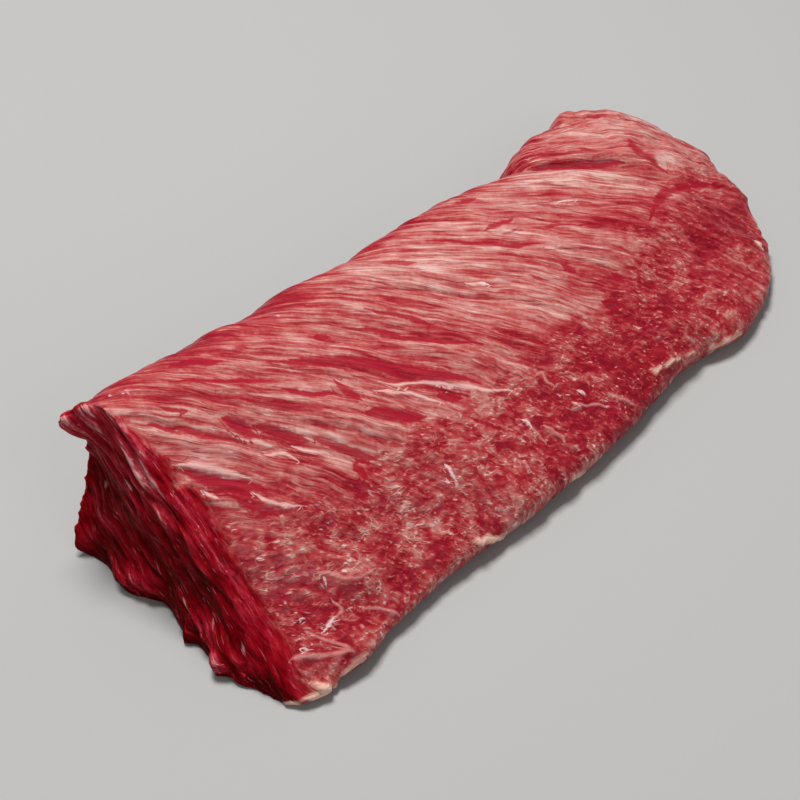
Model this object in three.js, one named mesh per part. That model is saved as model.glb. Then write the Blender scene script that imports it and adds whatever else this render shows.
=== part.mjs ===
// A raw hanger steak: one thick, coarse-grained muscle, cut square at one end and left round at the other.
// The cut face shows how the height falls from a tall rear rim to a thin front brim.
// The sections are not parallel. They fan out from the cut face, turn slantwise from the rear rim to the front
// along the middle, and the last of them cross a small rear lobe. The grain runs slantwise over all of them.
// Millimetres, +Z up. X runs from the cut end to the round end, Y from the front brim to the rear rim.
// The origin is on the surface that the steak lies on, under the middle of its outline.

import * as THREE from "three";
import { ParametricGeometry } from "three/addons/geometries/ParametricGeometry.js";
import { ImprovedNoise } from "three/addons/math/ImprovedNoise.js";
import { mergeVertices } from "three/addons/utils/BufferGeometryUtils.js";

// Sections from the cut face to the rear lobe. Each gives the place of its rear and front edges, then the
// heights of its rear rim, its crown, the shoulder half-way down the front slope, and its front brim.
const SECTIONS = [
  { rear: [-105, 38.5], front: [-110, -45], rim: 46, crown: 51, shoulder: 25, brim: 5 },
  { rear: [-99, 39.5], front: [-95, -47], rim: 45, crown: 50.5, shoulder: 31, brim: 10 },
  { rear: [-84, 39.5], front: [-50, -47], rim: 43, crown: 48, shoulder: 33, brim: 13 },
  { rear: [-60, 39], front: [-3, -50], rim: 40, crown: 44, shoulder: 32, brim: 14 },
  { rear: [-32, 38], front: [40, -47], rim: 36, crown: 40, shoulder: 30, brim: 13 },
  { rear: [0, 37.5], front: [76, -50], rim: 33, crown: 36, shoulder: 28, brim: 12 },
  { rear: [30, 36.5], front: [99, -41.5], rim: 30, crown: 32.5, shoulder: 26, brim: 11 },
  { rear: [55, 34], front: [111, -29], rim: 26, crown: 29.5, shoulder: 25, brim: 11 },
  { rear: [66, 39], front: [119.5, -14], rim: 22, crown: 25.5, shoulder: 23.5, brim: 13 },
  { rear: [79, 42.5], front: [126.5, 2], rim: 19.5, crown: 23.5, shoulder: 22.5, brim: 15 },
  { rear: [92, 44], front: [128.5, 14], rim: 17, crown: 21.5, shoulder: 21, brim: 15 },
];

// The profile of every section: shares of its width, and how far its edges are rounded and tucked in below.
const CROWN_SHARE = 0.2;
const SHOULDER_SHARE = 0.58;
const BULGE_SHARE = 0.45;
const REAR_TUCK = 5;
const REAR_ROUND = 5;
const FRONT_TUCK = 4;
const FRONT_ROUND = 9;

// The rear lobe closes with a round tip beyond the last section.
const TIP_DEPTH = 14;
const TIP_SHARE = 0.5;
const TIP_PLAN_POWER = 2;
const TIP_SIDE_POWER = 2;

// Steps of the skin: over the top and under the base of a section, then from the cut face to the tip.
const OVER_TOP = 36;
const UNDER_BASE = 12;
const AROUND = OVER_TOP + UNDER_BASE;
const FACE_ROWS = 11;
const BODY_ROWS = 102;
const TIP_ROWS = 8;
const ROWS = FACE_ROWS + BODY_ROWS + TIP_ROWS;
const CURVE_STEPS = 144;
const MERGE_DISTANCE = 0.001;

// The middle line of the cut face, as distance from the rear edge and height.
const SPINE = { rear: [10, 19], front: [60, 4] };

// The cut face: how far it leans out at its foot and hollows behind, the nub at its upper corner,
// the ragged lobes along its foot, and its strands, which run down beside the sloping top edge.
const FACE_LEAN = 3.5;
const FACE_HEIGHT = 50;
const HOLLOW = { y: 37, z: 24, out: -5, size: 12 };
const NUB = { y: 37, z: 46, out: 7.5, size: 7 };
const FOOT_LOBES = [
  { y: 37, out: 7.5, size: 4 },
  { y: 18, out: 4.5, size: 8 },
  { y: -7, out: 4.5, size: 6 },
  { y: -22, out: 5, size: 6 },
  { y: -34, out: 3, size: 5 },
];
const FOOT_HEIGHT = 17;
const FACE_REACH = 12;
const STRAND_DEPTH = 1.4;
const STRAND_GAP = 5;
const STRAND_LENGTH = 40;
const STRAND_ANGLE = THREE.MathUtils.degToRad(-39);

// The grain in plan. Its lines leave the rear rim slantwise, reach this far along X by the front brim,
// and bend towards the front as they run down the slope.
const GRAIN = { rear: 39, width: 87, reach: 97, bend: 0.18, power: 3.6 };

// Bundles of fibre along the grain with narrow valleys between them, the slow swell of the muscle,
// and nicks along the front brim, which starts at a share of the way over the top.
const BUNDLE_DEPTH = 1.5;
const BUNDLE_RISE = 0.4;
const BUNDLE_GAP = 12;
const BUNDLE_LENGTH = 50;
const VALLEY_WIDTH = 0.26;
const SWELL_DEPTH = 1.6;
const SWELL_GAP = 34;
const NICK_DEPTH = 2;
const NICK_GAP = 10;
const BRIM = { start: 0.78, full: 0.9 };
const FOOT_FADE = 7;

// Each kind of relief reads its own slice of the noise.
const SLICES = { bundles: 0.5, strands: 2.5, nicks: 4.5, swell: 7.5 };

// The crease that sets the rear lobe off, by section number, bowed away from the straight section line.
const CREASE = { section: 7, bow: 4.6, depth: 4.3, width: 3.2, start: 0.2, end: 0.76, fade: 0.12 };

// A knob of fat on the front corner of the cut.
const KNOB = { distance: 3, share: 0.9, out: 3, size: 6 };

const noise = new ImprovedNoise();
const { clamp, lerp, smoothstep } = THREE.MathUtils;

function bump(distance, size) {
  return Math.exp(-Math.pow(distance / size, 2));
}

// Distance along the body, measured from the cut face over the middles of the sections.
function sectionDistances() {
  const middle = ({ rear, front }) => new THREE.Vector2(...rear).lerp(new THREE.Vector2(...front), 0.5);
  const middles = SECTIONS.map(middle);
  const distances = [0];
  for (let i = 1; i < middles.length; i += 1) {
    distances.push(distances[i - 1] + middles[i].distanceTo(middles[i - 1]));
  }
  return distances;
}

const distances = sectionDistances();
const bodyLength = distances[distances.length - 1];
const creaseDistance = distances[CREASE.section];
const values = SECTIONS.flatMap((s) => [...s.rear, ...s.front, s.rim, s.crown, s.shoulder, s.brim]);
const valueCount = values.length / SECTIONS.length;
const sections = new THREE.CubicInterpolant(distances, values, valueCount, new Float64Array(valueCount));

// The section at a distance along the body: its two edges in plan, and the curve over its top. The curve
// runs from the rear foot to the front foot, as distance from the rear edge and height.
function sectionAt(distance) {
  const [rearX, rearY, frontX, frontY, rim, crown, shoulder, brim] = sections.evaluate(distance);
  const rear = new THREE.Vector2(rearX, rearY);
  const front = new THREE.Vector2(frontX, frontY);
  const width = rear.distanceTo(front);
  const curve = new THREE.SplineCurve([
    new THREE.Vector2(REAR_TUCK, 0),
    new THREE.Vector2(0, rim * BULGE_SHARE),
    new THREE.Vector2(REAR_ROUND, rim),
    new THREE.Vector2(width * CROWN_SHARE, crown),
    new THREE.Vector2(width * SHOULDER_SHARE, shoulder),
    new THREE.Vector2(width - FRONT_ROUND, brim),
    new THREE.Vector2(width, brim * BULGE_SHARE),
    new THREE.Vector2(width - FRONT_TUCK, 0),
  ]);
  curve.arcLengthDivisions = CURVE_STEPS;
  return { rear, front, width, curve };
}

// Where the grain line through a place meets the rear rim.
function grainStart(plan) {
  const depth = Math.max(0, GRAIN.rear - plan.y) / GRAIN.width;
  return plan.x - GRAIN.reach * (depth - GRAIN.bend * Math.pow(depth, GRAIN.power));
}

// Long low ridges of fibre: a valley runs wherever the noise passes through zero.
function bundles(plan) {
  const drift = noise.noise(grainStart(plan) / BUNDLE_GAP, plan.y / BUNDLE_LENGTH, SLICES.bundles);
  return BUNDLE_DEPTH * (BUNDLE_RISE - bump(drift, VALLEY_WIDTH));
}

function nicks(distance, run, share) {
  const nearBrim = smoothstep(share, BRIM.start, BRIM.full);
  return NICK_DEPTH * nearBrim * noise.noise(distance / NICK_GAP, run / NICK_GAP, SLICES.nicks);
}

function knob(distance, away) {
  return KNOB.out * bump(distance - KNOB.distance, KNOB.size) * bump(away, KNOB.size);
}

// The crease, deepest in the middle of its length and fading towards both ends.
function crease(distance, share) {
  const away = distance - creaseDistance - CREASE.bow * 4 * share * (1 - share);
  const rise = smoothstep(share, CREASE.start - CREASE.fade, CREASE.start + CREASE.fade);
  const fall = 1 - smoothstep(share, CREASE.end - CREASE.fade, CREASE.end + CREASE.fade);
  return CREASE.depth * rise * fall * bump(away, CREASE.width);
}

// How far the skin stands out from the plain section, at a share of the way over its top.
function relief(distance, share, length, plan, height) {
  const run = share * length;
  const swell = SWELL_DEPTH * noise.noise(distance / SWELL_GAP, run / SWELL_GAP, SLICES.swell);
  const fine = bundles(plan) + nicks(distance, run, share);
  const coarse = swell + knob(distance, (share - KNOB.share) * length) - crease(distance, share);
  const offFace = smoothstep(distance, 0, FACE_REACH / 2);
  return (fine * offFace + coarse) * smoothstep(height, 0, FOOT_FADE);
}

// A point of the outline of the section, by its share of the whole way round, relief and all.
function outlinePoint(section, distance, around) {
  const overTop = OVER_TOP / AROUND;
  if (around > overTop) {
    const under = (around - overTop) / (1 - overTop);
    return section.curve.getPointAt(1).lerp(section.curve.getPointAt(0), under);
  }
  const share = around / overTop;
  const point = section.curve.getPointAt(share);
  const tangent = section.curve.getTangentAt(share);
  const plan = section.rear.clone().lerp(section.front, point.x / section.width);
  const out = relief(distance, share, section.curve.getLength(), plan, point.y);
  point.add(new THREE.Vector2(-tangent.y, tangent.x).multiplyScalar(out));
  point.y = Math.max(0, point.y);
  return point;
}

// How far the cut face stands out at a point of it.
function faceOut(y, z) {
  const lean = FACE_LEAN * (1 - z / FACE_HEIGHT);
  const hollow = HOLLOW.out * bump(Math.hypot(y - HOLLOW.y, z - HOLLOW.z), HOLLOW.size);
  const nub = NUB.out * bump(Math.hypot(y - NUB.y, z - NUB.z), NUB.size);
  const low = 1 - smoothstep(z, 0, FOOT_HEIGHT);
  const lobes = FOOT_LOBES.reduce((sum, lobe) => sum + lobe.out * bump(y - lobe.y, lobe.size), 0);
  const beside = z * Math.cos(STRAND_ANGLE) + y * Math.sin(STRAND_ANGLE);
  const down = y * Math.cos(STRAND_ANGLE) - z * Math.sin(STRAND_ANGLE);
  const strands = STRAND_DEPTH * noise.noise(beside / STRAND_GAP, down / STRAND_LENGTH, SLICES.strands);
  return lean + hollow + nub + lobes * low + strands;
}

// The cut face: rings that open out from the middle line to the outline of the first section.
function facePoint(around, open, target) {
  const section = sectionAt(0);
  const edge = outlinePoint(section, 0, around);
  const step = Math.round(clamp(edge.x / section.width, 0, 1) * UNDER_BASE) / UNDER_BASE;
  const middle = new THREE.Vector2(...SPINE.rear).lerp(new THREE.Vector2(...SPINE.front), step);
  const point = middle.lerp(edge, open);
  const plan = section.rear.clone().lerp(section.front, point.x / section.width);
  target.set(plan.x, plan.y, point.y);
}

function bodyPoint(around, distance, target) {
  const section = sectionAt(distance);
  const edge = outlinePoint(section, distance, around);
  const plan = section.rear.clone().lerp(section.front, edge.x / section.width);
  target.set(plan.x, plan.y, edge.y);
}

// The tip: the last section moved outwards while it shrinks to a point.
function tipPoint(around, turn, target) {
  const out = Math.sin(turn);
  const wide = Math.pow(Math.max(0, 1 - Math.pow(out, TIP_PLAN_POWER)), 1 / TIP_PLAN_POWER);
  const high = Math.pow(Math.max(0, 1 - Math.pow(out, TIP_SIDE_POWER)), 1 / TIP_SIDE_POWER);
  const section = sectionAt(bodyLength);
  const edge = outlinePoint(section, bodyLength + TIP_DEPTH * out, around);
  const share = lerp(TIP_SHARE, edge.x / section.width, wide);
  const plan = section.rear.clone().lerp(section.front, share);
  const outward = section.rear.clone().sub(section.front).normalize();
  target.set(plan.x + outward.y * TIP_DEPTH * out, plan.y - outward.x * TIP_DEPTH * out, edge.y * high);
}

// The whole skin, by the share of the way round and the share of the way from the cut face to the tip.
function skinPoint(around, along, target) {
  const row = along * ROWS;
  const bodyRow = row - FACE_ROWS;
  const tipRow = bodyRow - BODY_ROWS;
  if (bodyRow < 0) facePoint(around, row / FACE_ROWS, target);
  else if (tipRow <= 0) bodyPoint(around, (bodyRow / BODY_ROWS) * bodyLength, target);
  else tipPoint(around, (tipRow / TIP_ROWS) * (Math.PI / 2), target);
  const nearFace = 1 - smoothstep(target.x, SECTIONS[0].rear[0], SECTIONS[0].rear[0] + FACE_REACH);
  target.x -= faceOut(target.y, target.z) * nearFace;
}

// Triangles with two corners in one place, where rings close on a line or a point, are left out.
function dropFlatTriangles(geometry) {
  const kept = [];
  const corners = geometry.index.array;
  for (let i = 0; i < corners.length; i += 3) {
    const [a, b, c] = corners.slice(i, i + 3);
    if (a !== b && b !== c && c !== a) kept.push(a, b, c);
  }
  geometry.setIndex(kept);
}

function steakGeometry() {
  const skin = new ParametricGeometry(skinPoint, AROUND, ROWS);
  skin.deleteAttribute("normal");
  skin.deleteAttribute("uv");
  const geometry = mergeVertices(skin, MERGE_DISTANCE);
  dropFlatTriangles(geometry);
  geometry.computeBoundingBox();
  const middle = geometry.boundingBox.getCenter(new THREE.Vector3());
  geometry.translate(-middle.x, -middle.y, 0);
  geometry.computeVertexNormals();
  return geometry;
}

function rawBeef() {
  return new THREE.MeshStandardMaterial({ color: 0xa8323c, roughness: 0.42, metalness: 0 });
}

const steak = new THREE.Mesh(steakGeometry(), rawBeef());
steak.name = "hanger_steak";

const group = new THREE.Group();
group.add(steak);

export default group;
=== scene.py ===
from math import cos, radians, sin

import bpy
import numpy as np
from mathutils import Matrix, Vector


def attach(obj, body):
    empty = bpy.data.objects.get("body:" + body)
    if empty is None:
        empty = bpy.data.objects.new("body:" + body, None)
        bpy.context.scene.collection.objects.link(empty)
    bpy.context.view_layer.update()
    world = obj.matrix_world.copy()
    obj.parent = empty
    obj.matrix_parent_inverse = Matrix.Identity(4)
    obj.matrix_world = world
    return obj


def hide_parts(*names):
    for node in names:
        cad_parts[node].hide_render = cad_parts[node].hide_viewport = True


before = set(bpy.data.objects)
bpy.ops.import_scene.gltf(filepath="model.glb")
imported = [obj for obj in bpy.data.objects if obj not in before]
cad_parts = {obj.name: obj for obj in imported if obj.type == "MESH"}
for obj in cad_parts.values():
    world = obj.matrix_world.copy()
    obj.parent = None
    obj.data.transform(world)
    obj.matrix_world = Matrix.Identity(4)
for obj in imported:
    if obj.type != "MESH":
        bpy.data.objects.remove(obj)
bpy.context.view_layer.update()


# The steak's flesh
# One thick, coarse-grained muscle of raw beef, trimmed of its membrane and cut square at its
# tall end. Its skin is a copy of the solid's, made finer, with the bundles and strands of fibre
# raised on it, and a map of how pale, dark, granular or fatty each place is.

SOLID = "hanger_steak"
MILLIMETRES = 1000.0

# Corners this near, in metres, are one, and triangles that bend and skew less than this are quads.
MERGE_DISTANCE = 0.00001
QUAD_BEND = radians(70)
QUAD_SKEW = radians(100)
FINE_LEVELS = 2


def select_only(piece):
    bpy.ops.object.select_all(action="DESELECT")
    piece.select_set(True)
    bpy.context.view_layer.objects.active = piece


def fine_copy(node, name):
    """The solid's mesh as a new object: welded, turned to quads and subdivided."""
    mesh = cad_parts[node].data.copy()
    mesh.name = name
    mesh.materials.clear()
    piece = bpy.data.objects.new(name, mesh)
    bpy.context.scene.collection.objects.link(piece)
    select_only(piece)
    bpy.ops.mesh.customdata_custom_splitnormals_clear()
    bpy.ops.object.mode_set(mode="EDIT")
    bpy.ops.mesh.select_all(action="SELECT")
    bpy.ops.mesh.remove_doubles(threshold=MERGE_DISTANCE)
    bpy.ops.mesh.tris_convert_to_quads(face_threshold=QUAD_BEND, shape_threshold=QUAD_SKEW)
    bpy.ops.object.mode_set(mode="OBJECT")
    finer = piece.modifiers.new("finer", "SUBSURF")
    finer.levels = FINE_LEVELS
    finer.render_levels = FINE_LEVELS
    bpy.ops.object.modifier_apply(modifier=finer.name)
    bpy.ops.object.shade_smooth()
    return piece


def read_points(mesh, what):
    values = np.empty(len(mesh.vertices) * 3)
    mesh.vertices.foreach_get(what, values)
    return values.reshape(-1, 3)


flesh = fine_copy(SOLID, "steak_flesh")
skin = read_points(flesh.data, "co") * MILLIMETRES
outward = read_points(flesh.data, "normal")
x, y, z = skin.T


def ease(value, low, high):
    """A smooth rise from 0 at low to 1 at high. With low above high it is a fall."""
    share = np.clip((value - low) / (high - low), 0, 1)
    return share * share * (3 - 2 * share)


LATTICE = 256
FULL_SWING = 1.7


def ripples(across, along, seed):
    """Smooth random height at each place, about -1 to 1, with one ripple to a unit."""
    turns = np.random.default_rng(seed).uniform(0, 2 * np.pi, (LATTICE, LATTICE))
    cell_a, cell_b = np.floor(across).astype(int), np.floor(along).astype(int)
    part_a, part_b = across - cell_a, along - cell_b
    total = np.zeros_like(across)
    for step_a in (0, 1):
        for step_b in (0, 1):
            turn = turns[(cell_a + step_a) % LATTICE, (cell_b + step_b) % LATTICE]
            far_a, far_b = part_a - step_a, part_b - step_b
            weight = ease(1 - np.abs(far_a), 0, 1) * ease(1 - np.abs(far_b), 0, 1)
            total += weight * (np.cos(turn) * far_a + np.sin(turn) * far_b)
    return total * FULL_SWING


# The grain: its lines leave the rear rim slantwise and turn towards the front as they run down.
# A place's line is named by where it meets the rear rim, and `run` is how far along the line it is.
# WIDTH is from the rear rim to the front brim. Over it a line gains GRAIN_REACH along the steak.
REAR_RIM = 40.2
WIDTH = 87.2
GRAIN_REACH = 97.0
GRAIN_BEND = 0.18
GRAIN_POWER = 3.6
GRAIN_SLANT = 0.7

# The crown's height at the cut, and how much it falls for each millimetre along the steak.
CUT_X = -111.0
CROWN_AT_CUT = 50.5
CROWN_FALL = 0.125

# How much `run` grows over the top, down the front slope and down the rear side.
OVER_TOP = 1.15
DOWN_FRONT = 0.7
DOWN_REAR = -1.0

depth = np.maximum(0, REAR_RIM - y)
share = depth / WIDTH
line = x - GRAIN_REACH * (share - GRAIN_BEND * share ** GRAIN_POWER)
drop = np.maximum(0, CROWN_AT_CUT - CROWN_FALL * (x - CUT_X) - z) * ease(outward[:, 2], -0.9, -0.5)
behind = 1 - ease(depth, 6, 18)
run = OVER_TOP * depth + drop * (DOWN_FRONT + (DOWN_REAR - DOWN_FRONT) * behind)

# The lines sway, in waves of 24, 9 and 4.5 mm.
sway = 1.2 * ripples(x / 24, y / 24, 1) + 0.45 * ripples(x / 9, (y + z) / 9, 2)
sway += 0.16 * ripples(x / 4.5, (y + z) / 4.5, 4)
grain = line * GRAIN_SLANT + sway

# `face` is 1 on the cut face, which has its own directions: down its strands, and beside them.
STRAND_TURN = radians(-39)
face = ease(-outward[:, 0], 0.42, 0.68) * ease(x, -92, -100)
wander = 0.5 * ripples(y / 9, z / 9, 3) + 0.2 * ripples(y / 3.5, z / 3.5, 7)
beside = z * cos(STRAND_TURN) + y * sin(STRAND_TURN) + 0.8 * (x - CUT_X) + wander
down = y * cos(STRAND_TURN) - z * sin(STRAND_TURN)

# Along the top edge of the cut the bundles end in a crimson margin, which reaches in to this
# line in plan. `cut` is the face and the margin together.
MARGIN_Y = (-46, -36, -28, -19, -10, -2, 3.5, 5, 8, 14, 20, 27)
MARGIN_X = (-117, -113.5, -110.5, -110, -109, -106.5, -106.5, -110, -108, -108.5, -110, -112.5)
margin_end = np.interp(y, MARGIN_Y, MARGIN_X) + 1.6 * ripples(grain / 0.9, run / 30, 8)
margin = ease(x, margin_end + 1.6, margin_end - 1.2) * (1 - face) * (outward[:, 2] > 0)
cut = face + margin

# The height of that edge across the steak.
RIDGE_Y = (-46, -25, -8, 16, 27, 34, 40)
RIDGE_Z = (5, 16, 29, 46, 52, 52, 44)
under_ridge = np.interp(y, RIDGE_Y, RIDGE_Z) - z


def valleys(height, sharpness):
    """Rounded bundles with a sharp valley wherever the height passes through zero."""
    return np.abs(height) ** sharpness


# The granular zone: below this line on the front slope the fibres are cut short and show as grains.
GRANULAR_X = (-111, -99, -72, -20, 25, 50, 75, 100)
GRANULAR_Y = (-5, -11, -18, -22, -21, -13, -6, 4)
edge = np.interp(x, GRANULAR_X, GRANULAR_Y)
edge += 6 * ripples(x / 14, y / 14, 5)
edge += 3 * ripples(x / 5, y / 5, 6)
granular = ease(y - edge, 5, -7)

# Relief: how far the flesh stands above the solid's skin or sinks below it, in millimetres.
# Cords are whole bundles of fibre, strands the finer ones in them, and grains their cut ends.
cords = valleys(ripples(grain / 4.6, run / 50, 11), 0.6)
strands = valleys(ripples(grain / 2.6, run / 30, 12), 0.9)
grains = 0.6 * ripples(grain / 1.7, run / 3, 14) + 0.4 * ripples(x / 2.8, (y - z) / 2.8, 15)
face_cords = valleys(ripples(beside / 4.4, down / 17, 16), 0.6)
face_strands = ripples(beside / 2, down / 9, 17)
face_lumps = ripples(y / 10, z / 10, 20)

top_relief = 0.9 * (cords - 0.5) + 0.5 * (strands - 0.5)
granular_relief = 0.3 * (cords - 0.5) + 0.55 * grains
face_relief = 1.3 * (face_cords - 0.5) + 0.8 * face_strands + 0.8 * face_lumps
margin_relief = 0.8 + 0.6 * face_strands + 0.5 * (face_cords - 0.5)
relief = top_relief + (granular_relief - top_relief) * granular
relief = relief + (margin_relief - relief) * margin
relief = relief + (face_relief - relief) * face

# The edge between the top and the cut face is scalloped.
ridge = 4 * face * (1 - face)
relief += ridge * (1.0 * ripples(y / 7, z / 30, 18) + 0.6 * ripples(y / 3, z / 30, 19))

# Pillows: places where a bundle swells out of the cut face, by centre and size in Y and Z, and
# how far it stands out.
PILLOWS = (
    ((29.5, 15), (6.5, 4.5), 1.8),
    ((34.5, 6), (3.5, 4.5), 0.2),
    ((14, 6), (8, 4.5), 2.0),
    ((-12, 8), (7, 5), 1.2),
    ((-25, 6), (7, 4), 1.4),
)
pillow = np.zeros_like(x)
for centre, size, out in PILLOWS:
    swell = np.exp(-((y - centre[0]) / size[0]) ** 2 - ((z - centre[1]) / size[1]) ** 2) * face
    pillow = np.maximum(pillow, swell)
    relief += out * swell

# Flaps: ragged bits along the foot of the cut, by place along it, width and reach.
FLAPS = (
    (37, 1.8, 0.6),
    (24, 4, -0.6),
    (15, 4, 0.8),
    (7, 2.5, -0.6),
    (-6.5, 1.7, 1.8),
    (-13, 3, 0.7),
    (-19, 2.2, 2.6),
    (-26, 3, 0.9),
    (-38, 2.2, 0.7),
)
foot = ease(x, -106, -114) * ease(z, 12, 2)
reach_out = 0.5 * ripples(y / 4, z / 6, 24) + 0.45 * ripples(y / 1.8, z / 4, 25)
for place, wide, reach in FLAPS:
    reach_out += reach * np.exp(-((y - place) / wide) ** 2)

# The lines and patches below waver a little, as if drawn on skin moved by these waves, each with
# its spacing, its size and a seed for each axis. `facing_up` is 1 off the cut and the underside.
WAVES = ((8, 0.6, (21, 22, 23)), (3, 0.25, (51, 52, 53)))
wavy = skin.copy()
for gap, size, seeds in WAVES:
    wavy += size * np.stack([ripples(x / gap, (y + z) / gap, seed) for seed in seeds], 1)
facing_up = (outward[:, 2] > 0) * (1 - face)


def measure(places):
    """How far each spot is from a line through places, on which hand, and its share along it."""
    places = np.array(places, float)
    spots = wavy[:, :places.shape[1]]
    away = np.full(len(spots), np.inf)
    hand = np.ones(len(spots))
    gone = np.zeros(len(spots))
    total = 0.0
    for start, end in zip(places[:-1], places[1:]):
        ahead = end - start
        length = np.linalg.norm(ahead)
        along = np.clip((spots - start) @ ahead / length ** 2, 0, 1)
        gap = np.linalg.norm(spots - start - along[:, None] * ahead, axis=1)
        aside = (spots[:, 1] - start[1]) * ahead[0] - (spots[:, 0] - start[0]) * ahead[1]
        nearer = gap < away
        gone = np.where(nearer, total + along * length, gone)
        hand = np.where(nearer, np.sign(aside), hand)
        away = np.minimum(away, gap)
        total += length
    return away, hand, gone / total


def near_line(places, width):
    """1 on a line through places in plan or in space, falling off beside it."""
    return np.exp(-(measure(places)[0] / width) ** 2)


# A line is followed as far as FAR_ASIDE half widths from it, and narrows to a fifth at its ends.
# It shows to just past its edge, so that the material can make that edge ragged.
FAR_ASIDE = 6.0
NARROWEST = 0.2
SHOWN_WIDTHS = 1.2
SHOWN_ASIDE = 0.9
TIP = 0.04
FINEST_RIDGE = 1.0


def threads(rows, taper):
    """Lines finer than the mesh, each with its places in plan and half its width.

    Each end narrows over a share of the line, its taper. For every spot it gives how many half
    widths aside of the nearest line it is, with a sign for the hand, how near it is, and a soft
    ridge for the relief.
    """
    aside = np.full_like(x, FAR_ASIDE)
    near = np.zeros_like(x)
    ridge = np.zeros_like(x)
    for places, width in rows:
        away, hand, share = measure(places)
        ends = ease(share, 0, taper) * ease(share, 1, 1 - taper)
        ratio = np.minimum(FAR_ASIDE, away / (width * (NARROWEST + (1 - NARROWEST) * ends)))
        aside = np.where(ratio < np.abs(aside), hand * ratio, aside)
        tips = ease(share, 0, TIP) * ease(share, 1, 1 - TIP)
        past_edge = SHOWN_WIDTHS * width
        shown = ease(away, past_edge + SHOWN_ASIDE, past_edge) * tips
        near = np.maximum(near, shown * facing_up)
        ridge = np.maximum(ridge, np.exp(-(away / max(width, FINEST_RIDGE)) ** 2) * ends * facing_up)
    return aside, near, ridge


# Furrows: crimson bands between the bundles, where the flesh is bare of its pink film.
FURROWS = (
    (((-68, 16), (-64, 13.5), (-55, 8), (-45.5, 1), (-39, -5), (-31, -12), (-22, -20)), 2.0),
    (((-33, 13.5), (-30.5, 10.5), (-26, 6), (-20, -1)), 1),
    (((-42, 13.5), (-32.5, 4), (-25.5, -3.5), (-13, -13)), 0.9),
    (((-14, 24), (-12.5, 22.5), (-6, 17)), 1.2),
    (((-50, 15), (-46, 12.5)), 1.1),
    (((19, 13.5), (26, 13), (32, 12)), 1.1),
    (((3, 22), (6.5, 19), (14.5, 11), (22.5, 3), (29, -1)), 0.8),
    (((32.5, 4.5), (39.5, 2), (47, -2)), 0.8),
    (((26.5, -8), (28.5, -13)), 1.4),
    (((38, -17.5), (39, -22.5)), 1.4),
    (((28, -21.5), (32, -26)), 1.4),
    (((24, 28.5), (32, 26)), 1.4),
    (((-106, 18.5), (-100.5, 12.5), (-96.5, 8.5), (-88, 1)), 1.2),
    (((-90, 9.5), (-88, 6.5), (-85, 1)), 1.9),
    (((-84, 4), (-79, -1), (-74, -6)), 1.8),
    (((-73, -5.5), (-68, -12), (-63, -18)), 1.1),
    (((-107, 6), (-104, 3), (-96, -6), (-93, -9)), 2.4),
    (((-102, -4.5), (-94.5, -14)), 1.5),
    (((-70, 8), (-64, 1.5), (-58, -1)), 1.1),
    (((-56, 2.5), (-55.5, -6)), 1.4),
    (((-36, -15), (-30, -19.5)), 1.4),
    (((-57, -9), (-43, -18)), 2),
    (((-69, -14.5), (-68, -20)), 1.5),
    (((-73, -18.5), (-71, -22.5)), 1.5),
    (((-93, 23), (-82, 17), (-69, 10.5)), 0.9),
    (((-89, 28.5), (-82, 25.5), (-76, 21.5)), 1.4),
    (((-101, 19.5), (-97.5, 16), (-95, 14)), 0.7),
    (((104, -10), (95, -6), (87.5, -5), (78, -7), (69, -10), (64, -12)), 1.5),
    (((62, 30), (66, 26.5), (72, 20), (80, 12.8), (84, 10)), 1.4),
    (((94, 17), (90.5, 12.5), (89.5, 8.5), (91, 5.5), (92, 0)), 1.6),
)

# Splits: thin dark lines where two bundles part.
SPLITS = (
    (((-108, 31), (-96.5, 20), (-87.5, 14), (-75, 2.5)), 0.45),
    (((-86, 15.5), (-71, 6.5)), 0.4),
    (((-83, 10), (-77.5, 6), (-71, 0.5), (-63, -7.5)), 0.5),
    (((-36, 22.5), (-18, 12.5), (-9, 6), (-1, -1.5), (13, -13.5)), 0.45),
    (((-67, 12), (-58, 5.5), (-50, -2)), 0.4),
    (((26, -1.5), (35, -8.5), (52, -18.5)), 0.5),
    (((45, 9.5), (51.5, 5.5), (57.5, 1), (68, -6)), 0.4),
    (((35, 17.5), (46.5, 12), (55, 8), (71, -3.5)), 0.45),
    (((7, 2.5), (14, -4)), 0.4),
    (((22, 10), (25.5, 8.5), (29, 8)), 0.5),
    (((-88, -1), (-81.5, -3.5), (-74, -11)), 0.45),
    (((-52, -6), (-46.5, -10), (-40, -14)), 0.45),
    (((64, 28.5), (72.5, 20), (80, 13), (85, 9)), 0.5),
    (((89.5, 8.5), (91, 5.5), (92, 1.5)), 0.6),
)

# Strips: lines of shiny film, pale in itself and painted nearly white as a painted sheen, some of
# them broad and short.
FILM_SHEEN_STRIPS = (
    (((-106.5, 8), (-104.5, 6), (-99, 0.5), (-94, -5)), 0.8),
    (((-79, -4), (-74.5, -8.5), (-71.5, -11.5)), 0.55),
    (((-87.5, -2.5), (-82.5, -5), (-80.5, -8)), 0.5),
    (((-97, -7), (-95, -10), (-90.5, -14), (-88, -16.5)), 0.45),
    (((-106, 1), (-104, -3.5)), 0.5),
    (((-50.5, -5.5), (-44.5, -10), (-37, -15.5), (-35, -18)), 0.45),
    (((-47, -4), (-44.5, -7.5), (-34.5, -11.5), (-27.5, -18)), 0.45),
    (((-33.5, -14), (-25, -19.5), (-22, -22.5), (-16, -26)), 0.5),
    (((-1, 4), (5, -1)), 0.5),
)
LINE_TAPER = 0.3
furrow_aside, furrow_near, furrow_ridge = threads(FURROWS, LINE_TAPER)
split_aside, split_near, split_ridge = threads(SPLITS, LINE_TAPER)
film_sheen_aside, film_sheen_near, film_sheen_ridge = threads(FILM_SHEEN_STRIPS, LINE_TAPER)
relief += 0.2 * film_sheen_ridge - 0.3 * furrow_ridge - 0.25 * split_ridge

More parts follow.
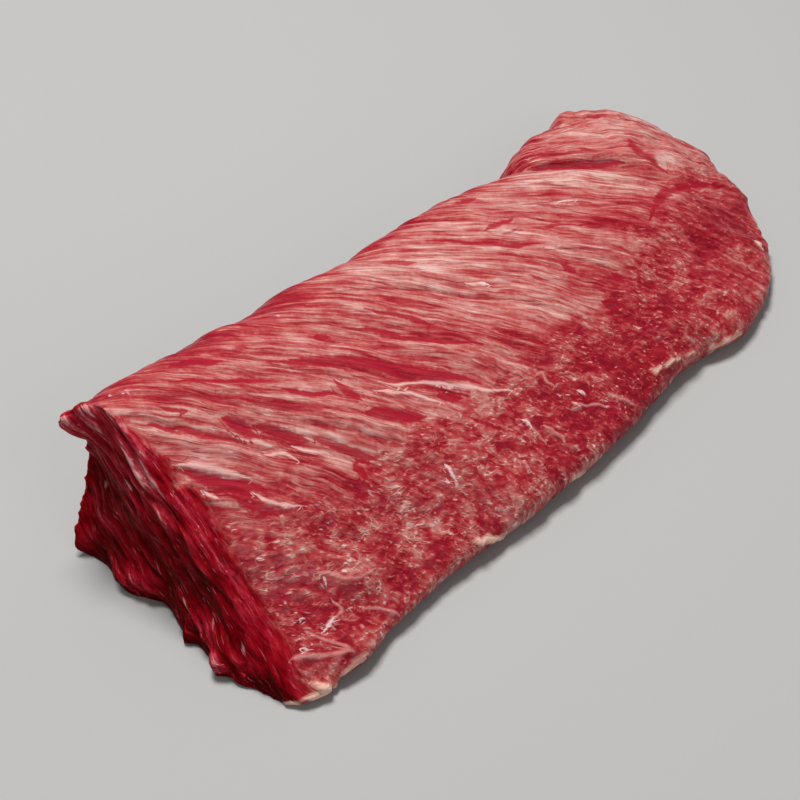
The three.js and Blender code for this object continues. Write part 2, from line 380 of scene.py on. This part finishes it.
# Fat: cream bits left by the knife at the corner of the cut, along the front brim and on the
# lobe. Each bit has a centre, a size and how far it stands out, and each line half its width.
FAT_BITS = (
    ((-114, -44.2, 2.2), (4, 3.4, 3.4), 2.0),
    ((-119, -39.5, 1), (2.2, 2.2, 1.4), 0.8),
    ((93.5, -32.5, 8.5), (1.2, 2.6, 2.2), 0.6),
    ((89.5, 38.5, 20.5), (2.2, 1.2, 1.1), 0.5),
)
FAT_LINES = (
    (((-95.5, -45, 7), (-100, -45.2, 5.3), (-104, -45, 4.2), (-106, -44.8, 3.8)), 1.5),
    (((23.6, -42.6, 11.4), (37, -44.1, 9.3), (47.5, -46, 5.3), (60, -47.6, 5.3)), 0.8),
    (((-54, -43, 7.5), (-50, -44.3, 5.6), (-46, -44.5, 4)), 1.2),
    (((-18.5, -47.8, 5.5), (-13, -46.8, 2.5)), 1.2),
    (((14.8, -46.5, 7.5), (18, -47.5, 7)), 0.9),
)
fat = np.zeros_like(x)
ragged = 0.45 * ripples(x / 2.5, (y + z) / 2.5, 31)
for centre, size, out in FAT_BITS:
    away = np.linalg.norm((skin - np.array(centre)) / np.array(size), axis=1)
    bit = ease(away + ragged, 1.1, 0.75)
    fat = np.maximum(fat, bit)
    relief += out * bit
for places, width in FAT_LINES:
    strip = ease(near_line(places, width) + 0.5 * ragged, 0.4, 0.75)
    fat = np.maximum(fat, strip)
    relief += 0.8 * strip

# Membrane: thin pink lines of sinew that cross the granular zone.
MEMBRANES = (
    (((-115, -34.5), (-110, -38), (-106, -41), (-101.4, -43)), 0.5),
    (((-108.1, -32.9), (-105, -37.6), (-101.4, -43)), 0.4),
    (((-92, -37.2), (-87.5, -40.5), (-84, -44)), 0.35),
    (((-97, -26.4), (-94, -29.3), (-91, -32.2), (-86.7, -34.1), (-81.7, -34.6)), 0.35),
    (((-8.2, -26.5), (-4.3, -26.6), (-6.6, -28.8), (-5, -31.8)), 0.35),
    (((-20.8, -31.9), (-18.8, -39)), 0.4),
    (((-16.3, -35.2), (-14.5, -40.8), (-15.6, -42)), 0.35),
    (((-29.9, -38), (-28.8, -41.5)), 0.4),
    (((7.2, -39.5), (11.6, -44.8)), 0.4),
    (((-5.6, -37), (-1.9, -37.9)), 0.5),
    (((-3.8, -36.2), (4.1, -41)), 0.3),
    (((-96.7, -31.6), (-96.2, -35.3), (-98.3, -35.8), (-104, -35.7)), 0.4),
)
SINEW_TAPER = 0.15
sinew_aside, sinew_near, sinew_ridge = threads(MEMBRANES, SINEW_TAPER)

# Glints: painted highlights, short wet lines painted nearly white.
PAINTED_GLINTS = (
    (((-111.4, -35), (-109.6, -37)), 0.7),
    (((-104.5, -35.6), (-98.3, -35.7)), 0.4),
    (((-107, -30), (-105.4, -31.8)), 0.5),
    (((-95.5, -28.5), (-96.3, -30.5)), 0.5),
    (((-48.5, -28), (-48, -30.5), (-48.5, -32.5)), 0.5),
    (((-51.2, -30.2), (-50, -31.6)), 0.4),
    (((-20.8, -31.9), (-19.8, -34.5)), 0.5),
    (((-0.2, -34.2), (2, -36)), 0.6),
    (((47, 10.2), (50.5, 8.6), (55, 6.6)), 0.4),
    (((1, 2.5), (5, -1)), 0.4),
)
PAINTED_GLINT_TAPER = 0.5
painted_glint_aside, painted_glint_near, painted_glint_ridge = threads(PAINTED_GLINTS, PAINTED_GLINT_TAPER)
relief += 0.35 * np.maximum(sinew_ridge, painted_glint_ridge)

# The lobe beyond the crease is lumpier than the rest of the top.
beyond_crease = (x - 66.6) * 0.71 + (y - 26.8) * 0.7
lobe = ease(beyond_crease, 1, 6) * facing_up
relief += lobe * (0.8 * ripples(x / 8, y / 8, 35) + 0.35 * ripples(x / 3.4, y / 3.4, 36))

# Tone: 0 is the deepest crimson, 1 the palest pink.
# Patches are paler or deeper than what is round them, each along a line in plan, with a width.
PATCHES = (
    ((-22, 32), (-2, 12), 13, 0.09),
    ((20, 20), (40, 0), 15, 0.05),
    ((-1, 15), (21, -8), 11, 0.12),
    ((-40, 5), (-19, -16), 11, 0.11),
    ((-105, 24), (-86, 5), 9, 0.11),
    ((-78, 3), (-64, -11), 6, 0.1),
    ((84, 36), (98, 24), 8, 0.2),
    ((52, 24), (78, -4), 8, 0.18),
    ((54, 19), (62, 10), 4, 0.12),
    ((-20, 28), (-4, 12), 5, 0.12),
    ((-59, -12), (-47.5, -19.5), 3, 0.12),
    ((-74, -4), (-64, -9), 3, 0.2),
    ((94, 3), (99, -1), 3, 0.14),
    ((93, 2), (104, -6), 7, 0.1),
    ((-72, 32), (-45, 26), 10, -0.16),
    ((-79, -10), (-72, -18), 6, -0.23),
    ((10, -42), (45, -30), 12, -0.12),
    ((75, -15), (95, -22), 14, -0.13),
    ((50, -3), (61, -13), 3, -0.26),
    ((-85, 27), (-62, 20), 5, -0.12),
    ((15, -4), (70, -16), 8, 0.08),
    ((71, -35), (85, -30), 9, -0.08),
    ((15, -22), (-12, -33), 8, -0.12),
    ((-8, -40), (23, -43), 8, -0.13),
    ((-55, -27), (-75, -28), 7, 0.08),
    ((-112, -27), (-102, -36), 9, -0.17),
    ((96, -27), (108, -10), 8, -0.1),
)
pale_zone = 0.53 + 0.14 * ripples(line / 18, run / 40, 41) + 0.08 * ripples(line / 7, run / 30, 42)
patches = np.zeros_like(x)
for start, end, width, pale_by in PATCHES:
    patches += pale_by * near_line((start, end), width)
top_tone = pale_zone + 0.22 * (cords - 0.55) + 0.1 * (strands - 0.5)
granular_tone = 0.37 + 0.12 * grains + 0.1 * ripples(x / 9, y / 9, 46)
granular_tone += 0.12 * ease(z, 10, 4)
tone = top_tone + (granular_tone - top_tone) * granular + patches + 0.08 * lobe

# The rear rim and the rear side are deeper, and the margin takes the tone of the cut's strands.
rear_rim = ease(depth, 18, 4) * (1 - 0.7 * lobe) * ease(outward[:, 1], 0.85, 0.4) * facing_up
tone -= 0.3 * rear_rim + 0.2 * ease(outward[:, 1], 0.3, 0.8)
tone += (0.56 + 0.22 * face_strands + 0.22 * (face_cords - 0.5) - tone) * margin

# The cut face is deep crimson, mauve where it swells and at the ends of its flaps, with a painted
# highlight on the swellings too. Its tone is painted lighter towards the top and darker towards
# the foot: painted light above and painted shade near the floor. It has a few white flecks, each
# by its centre in Y and Z, and half its width and length.
FACE_FLECKS = (
    ((18.5, 32), 1.0, 2.2),
    ((20, 33), 0.5, 3.0),
    ((14, 39), 0.5, 3.4),
    ((7, 37), 0.9, 3.6),
    ((33, 20), 0.8, 1.6),
    ((-9, 14), 0.6, 3.6),
    ((8, 12), 0.5, 3.2),
    ((-4, 10), 0.5, 2.6),
    ((-14, 10), 0.5, 3.0),
    ((-24, 9), 0.6, 3.0),
    ((29, 45), 1.3, 4.0),
)
# Painted highlight on the swellings; painted light towards the top edge and the top, and painted
# shade towards the foot.
face_tone = 0.26 + 0.22 * face_strands + 0.26 * (face_cords - 0.5) + 0.38 * pillow
face_tone += 0.3 * ease(under_ridge, 9, 1) + 0.32 * ease(z, 15, 40) - 0.08 * ease(y, 12, -2)
face_tone += 0.18 * ease(y, 30, 38) * ease(z, 30, 40) - 0.34 * ease(z, 14, 4) * (1 - pillow)
face_tone += 0.42 * ease(reach_out * foot, 0.8, 1.8)
fleck = np.zeros_like(x)
for (fleck_y, fleck_z), wide, long in FACE_FLECKS:
    aside = (z - fleck_z) * cos(STRAND_TURN) + (y - fleck_y) * sin(STRAND_TURN)
    along = (y - fleck_y) * cos(STRAND_TURN) - (z - fleck_z) * sin(STRAND_TURN)
    fleck = np.maximum(fleck, face * np.exp(-(aside / wide) ** 2 - (along / long) ** 2))
tone = tone + (face_tone - tone) * face

# Swellings of the outline, each by centre, how far round it, and how far the flesh is pushed in
# X and Y.
SWELLINGS = (
    ((106, -14, 9), 10, (4.0, 0)),
    ((108, 25, 17), 8, (-2.3, 0)),
    ((91, 40, 20), 5, (0, -1.8)),
    ((74, 39, 15), 11, (0, 2.2)),
    ((36, 42, 26), 22, (0, 0.9)),
    ((60, -48, 4), 9, (0, -1.8)),
    ((12, -48, 5), 16, (0, -1.4)),
    ((-43, -49, 5), 16, (0, -1.6)),
    ((-99, -46, 4), 8, (0, -1.4)),
    ((-113, -46, 2), 5, (0.6, -2.2)),
    ((-90, 42, 38), 14, (0, 0.7)),
    ((-120, 41, 45), 9, (-0.9, 1.7)),
    ((-118, 41, 10), 8, (0.5, -0.8)),
)

# What lies on the floor stays flat.
off_floor = ease(z, 0.2, 5)
moved = skin + outward * (relief * off_floor)[:, None]
for centre, reach, push in SWELLINGS:
    swell = np.exp(-(np.linalg.norm(skin - np.array(centre), axis=1) / reach) ** 2)
    moved[:, :2] += swell[:, None] * np.array(push)
moved[:, 0] -= reach_out * foot
moved[:, 2] = np.maximum(0, moved[:, 2])
flesh.data.vertices.foreach_set("co", (moved / MILLIMETRES).ravel())


def keep(name, values):
    """Keeps a value for each point of the skin, for the material to read."""
    flesh.data.attributes.new(name, "FLOAT", "POINT").data.foreach_set("value", values)


keep("tone", tone)
keep("fleck", fleck)
keep("face", cut)
fewer_grains = 1 - 0.4 * ease(x, 45, 80)
keep("granular", granular * (1 - cut) * fewer_grains)
keep("fat", fat)
for name, aside, near in (
    ("furrow", furrow_aside, furrow_near),
    ("split", split_aside, split_near),
    ("strip", film_sheen_aside, film_sheen_near),
    ("sinew", sinew_aside, sinew_near),
    ("painted_glint", painted_glint_aside, painted_glint_near),
):
    keep(name + "_aside", aside)
    keep(name + "_near", near)


CENTIMETRE = 10


def lay_map(name, skin_map, face_map):
    """A UV map in centimetres: one layout over the skin, and another over the cut face."""
    corners = np.empty(len(flesh.data.loops), int)
    flesh.data.loops.foreach_get("vertex_index", corners)
    counts = np.empty(len(flesh.data.polygons), int)
    flesh.data.polygons.foreach_get("loop_total", counts)
    near_cut = cut[corners]
    middle_face = np.add.reduceat(near_cut, np.cumsum(counts) - counts) / counts
    on_face = np.repeat(middle_face > 0.5, counts)
    places = np.where(on_face[:, None], face_map[corners], skin_map[corners])
    flesh.data.uv_layers.new(name=name).data.foreach_set("uv", (places / CENTIMETRE).ravel())


# The fibres are shorter on the cut face, where they end, than along the top.
FACE_SHORTER = 1.7
lay_map("grain", np.stack([grain, run], 1), np.stack([beside, down * FACE_SHORTER], 1))
flesh.data.update()


class Value:
    """A node's output, so that shader maths reads as plain expressions."""

    def __init__(self, tree, socket):
        self.tree = tree
        self.socket = socket

    def maths(self, operation, *others):
        node = self.tree.nodes.new("ShaderNodeMath")
        node.operation = operation
        for place, other in enumerate(others):
            if isinstance(other, Value):
                self.tree.links.new(other.socket, node.inputs[place])
            else:
                node.inputs[place].default_value = other
        return Value(self.tree, node.outputs[0])

    def __add__(self, other):
        return self.maths("ADD", self, other)

    def __radd__(self, other):
        return self.maths("ADD", other, self)

    def __sub__(self, other):
        return self.maths("SUBTRACT", self, other)

    def __rsub__(self, other):
        return self.maths("SUBTRACT", other, self)

    def __mul__(self, other):
        return self.maths("MULTIPLY", self, other)

    def __rmul__(self, other):
        return self.maths("MULTIPLY", other, self)

    def size(self):
        return self.maths("ABSOLUTE", self)

    def clamped(self):
        kept = self.maths("ADD", self, 0.0)
        kept.socket.node.use_clamp = True
        return kept


class Finish:
    """A material and the nodes that make it."""

    def __init__(self, name):
        self.material = bpy.data.materials.new(name)
        self.material.use_nodes = True
        self.tree = self.material.node_tree
        self.tree.nodes.clear()

    def node(self, kind, settings=None, values=None, output=0):
        """Adds a node: its settings first, then a value or a link for each named socket."""
        node = self.tree.nodes.new(kind)
        for name, setting in (settings or {}).items():
            setattr(node, name, setting)
        for name, value in (values or {}).items():
            socket = node.inputs[name]
            if isinstance(value, Value):
                self.tree.links.new(value.socket, socket)
            else:
                socket.default_value = value
        return Value(self.tree, node.outputs[output])

    def ramp(self, value, stops):
        """A colour ramp, its stops as pairs of a place and a colour."""
        shaded = self.node("ShaderNodeValToRGB", {}, {0: value})
        ramp = shaded.socket.node.color_ramp
        for place, colour in stops[2:]:
            ramp.elements.new(place)
        for element, (place, colour) in zip(ramp.elements, stops):
            element.position = place
            element.color = (*colour, 1)
        return shaded

    def mix(self, share, first, second):
        """The first colour turning into the second, by a share. Sockets 6 and 7 are the colours."""
        second = second if isinstance(second, Value) else (*second, 1)
        values = {0: share, 6: first, 7: second}
        return self.node("ShaderNodeMix", {"data_type": "RGBA"}, values, output=2)

    def split(self, value, middle, softness):
        """0 well below a middle value, 1 well above it, and a smooth rise between the two."""
        values = {0: value, 1: middle - softness, 2: middle + softness}
        return self.node("ShaderNodeMapRange", {"interpolation_type": "SMOOTHSTEP"}, values)

    def attribute(self, name):
        return self.node("ShaderNodeAttribute", {"attribute_name": name}, output="Fac")

    def stretched(self, places, scale):
        """Places multiplied by a scale along each axis."""
        return self.node("ShaderNodeVectorMath", {"operation": "MULTIPLY"}, {0: places, 1: scale})

    def noise(self, places, scale, detail=1.0, distortion=0.0):
        """Random tone around 0.5, with as many ripples to a unit as the scale says."""
        values = {"Vector": self.stretched(places, scale), "Scale": 1.0, "Detail": detail}
        values["Distortion"] = distortion
        return self.node("ShaderNodeTexNoise", {"noise_dimensions": "3D"}, values)

    def surface(self, values):
        """The finished surface, and the material's output."""
        shader = self.node("ShaderNodeBsdfPrincipled", {}, values)
        output = self.tree.nodes.new("ShaderNodeOutputMaterial")
        self.tree.links.new(shader.socket, output.inputs["Surface"])
        return self.material


meat = Finish("raw_beef")
grain_places = meat.node("ShaderNodeUVMap", {"uv_map": "grain"})
solid_places = meat.node("ShaderNodeTexCoord", output="Object")


def streaks(width, length):
    """Random tone in streaks along the grain, their width and length in millimetres."""
    scale = (CENTIMETRE / width, CENTIMETRE / length, 1)
    return meat.noise(grain_places, scale, distortion=0.4)


def clouds(to_the_metre, detail):
    """Random tone in round clouds, by how many there are to a metre."""
    return meat.noise(solid_places, (to_the_metre,) * 3, detail)


granular_share = meat.attribute("granular")
face_share = meat.attribute("face")
fibrous = 1 - granular_share * 0.7
band, strand, fibre, hair = streaks(3, 22), streaks(1.4, 13), streaks(0.8, 8), streaks(0.45, 4)
blotch, specks, haze = clouds(180, 2.0), clouds(900, 2.0), clouds(75, 1.0)

# Where the fibres run whole, the pink film lies over them in long streaks. The last number of the
# tone brings its mean to nothing.
streaky = meat.split(band, 0.5, 0.16) * 0.2 + meat.split(strand, 0.5, 0.15) * 0.24
streaky = streaky + meat.split(fibre, 0.5, 0.15) * 0.2 + meat.split(hair, 0.5, 0.16) * 0.12
streaky = streaky + (blotch - 0.5) * 0.4 + (specks - 0.5) * 0.3 - 0.39

# Where they are cut short, it is broken into clumps, grains and dashes, with a web of fine pale
# threads.
clumps, grain_ends = streaks(2.8, 4.5), streaks(1.1, 2.6)
grainy = meat.split(clumps, 0.5, 0.17) * 0.22 + meat.split(grain_ends, 0.5, 0.18) * 0.2
grainy = grainy + (haze - 0.5) * 0.4 + (blotch - 0.5) * 0.4 + (specks - 0.5) * 0.3 - 0.25
web = (1 - meat.split((streaks(2.4, 4) - 0.5).size(), 0.022, 0.02)) * meat.split(blotch, 0.5, 0.12)
dashes = meat.split(streaks(0.8, 1.8), 0.63, 0.08) * 0.32


def thread(name, softness, ragged=1.6):
    """A line finer than the mesh: 1 within its half width, with an edge as ragged as is asked."""
    aside = meat.attribute(name + "_aside").size()
    aside = aside + (fibre - 0.5) * ragged + (specks - 0.5) * 0.75 * ragged
    near = meat.split(meat.attribute(name + "_near"), 0.4, 0.3)
    return (1 - meat.split(aside, 0.9, softness)) * near


furrow, split, strip = thread("furrow", 0.45, 1.0), thread("split", 0.9), thread("strip", 0.8)
sinew, painted_glint = thread("sinew", 0.9), thread("painted_glint", 0.7)
detail_tone = streaky * fibrous * (1 - face_share * 0.3)
detail_tone = detail_tone + (grainy + dashes + web * 0.25) * granular_share
detail_tone = detail_tone * (1 - furrow * 0.6)
# Painted highlights: small pale flecks over the top, standing for wet glints.
painted_glint_flecks = meat.split(streaks(0.5, 3.0), 0.7, 0.04) * meat.split(blotch, 0.5, 0.08)
full_tone = meat.attribute("tone") + detail_tone + painted_glint_flecks * 0.3
full_tone = (full_tone - furrow * 0.2).clamped()
skin_colour = meat.ramp(full_tone, (
    (0.0, (0.21, 0.004, 0.012)),
    (0.22, (0.29, 0.012, 0.022)),
    (0.42, (0.38, 0.054, 0.055)),
    (0.62, (0.455, 0.15, 0.132)),
    (0.82, (0.53, 0.25, 0.22)),
    (1.0, (0.61, 0.37, 0.33)),
))
# The cut face's ramp is deeper than the skin's: its own darker crimson, and painted shade, as the
# face lies in shade.
face_colour = meat.ramp(full_tone, (
    (0.0, (0.08, 0.0001, 0.001)),
    (0.25, (0.15, 0.0005, 0.003)),
    (0.5, (0.25, 0.003, 0.009)),
    (0.7, (0.34, 0.011, 0.024)),
    (0.86, (0.45, 0.055, 0.075)),
    (1.0, (0.62, 0.28, 0.28)),
))
colour = meat.mix(face_share, skin_colour, face_colour)
grooves = (1 - meat.split(streaks(1.2, 10), 0.36, 0.05)) * fibrous
slits = (1 - meat.split(streaks(0.8, 5), 0.34, 0.05)) * fibrous
pale_strands = meat.split(streaks(0.55, 8), 0.7, 0.05)
filmed = (1 - face_share) * (1 - furrow * 0.7)
wobble = (fibre - 0.5) * 0.9 + (strand - 0.5) * 0.6
flecked = meat.split(meat.attribute("fleck") + wobble * 0.8, 0.9, 0.3)
# Painted highlights: the glints, and small sparkles painted over the granular zone.
painted_sparkle = meat.split(streaks(0.8, 1.8), 0.7, 0.03) * meat.split(blotch, 0.52, 0.05)
painted_shine = (painted_glint + painted_sparkle * granular_share * 0.6).clamped()

# What lies over the flesh, in turn, and last the painted highlights: how much of it covers a place,
# and its colour.
for cover, own_colour in (
    (grooves * filmed * 0.5, (0.30, 0.012, 0.024)),
    (slits * filmed * 0.4, (0.30, 0.014, 0.026)),
    (grooves * face_share * 0.55, (0.06, 0.0, 0.001)),
    (pale_strands * face_share * 0.6, (0.48, 0.1, 0.12)),
    (furrow * 0.7, (0.32, 0.007, 0.022)),
    (split * 0.6, (0.24, 0.014, 0.024)),
    # film that is pale in itself, painted nearly white where it shines: partly painted sheen
    (strip * 0.8, (0.73, 0.44, 0.40)),
    (sinew * 0.65, (0.60, 0.25, 0.23)),
    (flecked * 0.75, (0.70, 0.42, 0.40)),
    (meat.attribute("fat"), (0.76, 0.47, 0.37)),
    (painted_shine * 0.75, (0.78, 0.56, 0.55)),
# painted highlights: glints and sparkle, painted nearly white
):
    colour = meat.mix(cover, colour, own_colour)

# The flesh is wet in patches, so it shines there, and every groove, strand and grain catches light.
wet = meat.split(streaks(1.1, 3.5), 0.6, 0.06)
roughness = 0.5 - wet * 0.15 - meat.split(fibre, 0.5, 0.2) * 0.08
height = (strand * 0.6 + fibre * 0.35 + hair * 0.12) * fibrous - grooves * 0.25 - slits * 0.15
height = height + (strip * 0.5 + sinew + painted_glint) * 0.15 - split * 0.15
lumps = clumps * 0.7 + grain_ends * 0.4 + specks * 0.3 + dashes * 0.3 + web * 0.25
height = height + lumps * granular_share
normal = meat.node("ShaderNodeBump", {}, {"Strength": 0.7, "Distance": 0.001, "Height": height})
coat = (wet * 0.5 + 0.25) * (1 - meat.split(face_share, 0.3, 0.3) * 0.9)
flesh.data.materials.append(meat.surface({
    "Base Color": colour,
    "Roughness": roughness,
    "Specular IOR Level": 0.02,
    "Specular Tint": (1.0, 0.5, 0.5, 1.0),
    "Subsurface Weight": 0.3,
    "Subsurface Radius": (1.0, 0.22, 0.16),
    "Subsurface Scale": 0.0012,
    "Coat Weight": coat,
    "Coat Roughness": 0.18,
    "Normal": normal,
}))
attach(flesh, "root")
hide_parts(SOLID)


# The floor
# A plain pale surface of matt board that the steak lies on, much wider than the camera sees.
# It isn't part of the object.

FLOOR_SIZE = 6.0
FLOOR_COLOUR = (0.36, 0.355, 0.345, 1)
bpy.ops.mesh.primitive_plane_add(size=FLOOR_SIZE, location=(0, 0, 0))
floor = bpy.context.active_object
floor.name = "floor"
board = Finish("pale_board")
floor.data.materials.append(board.surface({"Base Color": FLOOR_COLOUR, "Roughness": 0.8}))


# The light
# A soft lamp high above and a little behind the steak leaves the cut face and the front brim in
# shade. A wide weak lamp in front and an even pale surround lighten that shade.

SURROUND_COLOUR = (0.95, 0.97, 1, 1)
SURROUND_STRENGTH = 0.25


def soft_lamp(name, place, size, power):
    """A square area lamp that faces the steak, in metres and watts."""
    lamp = bpy.data.lights.new(name, "AREA")
    lamp.shape = "SQUARE"
    lamp.size = size
    lamp.energy = power
    holder = bpy.data.objects.new(name, lamp)
    holder.location = place
    holder.rotation_euler = (-Vector(place)).to_track_quat("-Z", "Y").to_euler()
    bpy.context.scene.collection.objects.link(holder)


soft_lamp("key_lamp", (0.02, 0.3, 1.2), 0.42, 19)
soft_lamp("fill_lamp", (-0.3, -1.2, 0.8), 0.9, 3.5)
surround = bpy.data.worlds.new("surround")
surround.use_nodes = True
surround.node_tree.nodes["Background"].inputs["Color"].default_value = SURROUND_COLOUR
surround.node_tree.nodes["Background"].inputs["Strength"].default_value = SURROUND_STRENGTH
bpy.context.scene.world = surround

# Colours are shown as they are, with no film look.
bpy.context.scene.view_settings.view_transform = "Standard"


# The camera
# It looks down on the steak at about 43 degrees, from the front and past the corner of the cut.
# Its place and lens were fitted to that corner, the rear edge and the steak's outline.

CAMERA_PLACE = Vector((-0.3408, -0.2621, 0.3921))
CAMERA_AIM = Vector((-0.0205, 0.0105, 0.0))
LENS = 92.6
SENSOR = 36.0
lens = bpy.data.cameras.new("camera")
lens.lens = LENS
lens.sensor_width = SENSOR
camera = bpy.data.objects.new("camera", lens)
camera.location = CAMERA_PLACE
camera.rotation_euler = (CAMERA_AIM - CAMERA_PLACE).to_track_quat("-Z", "Y").to_euler()
bpy.context.scene.collection.objects.link(camera)
bpy.context.scene.camera = camera
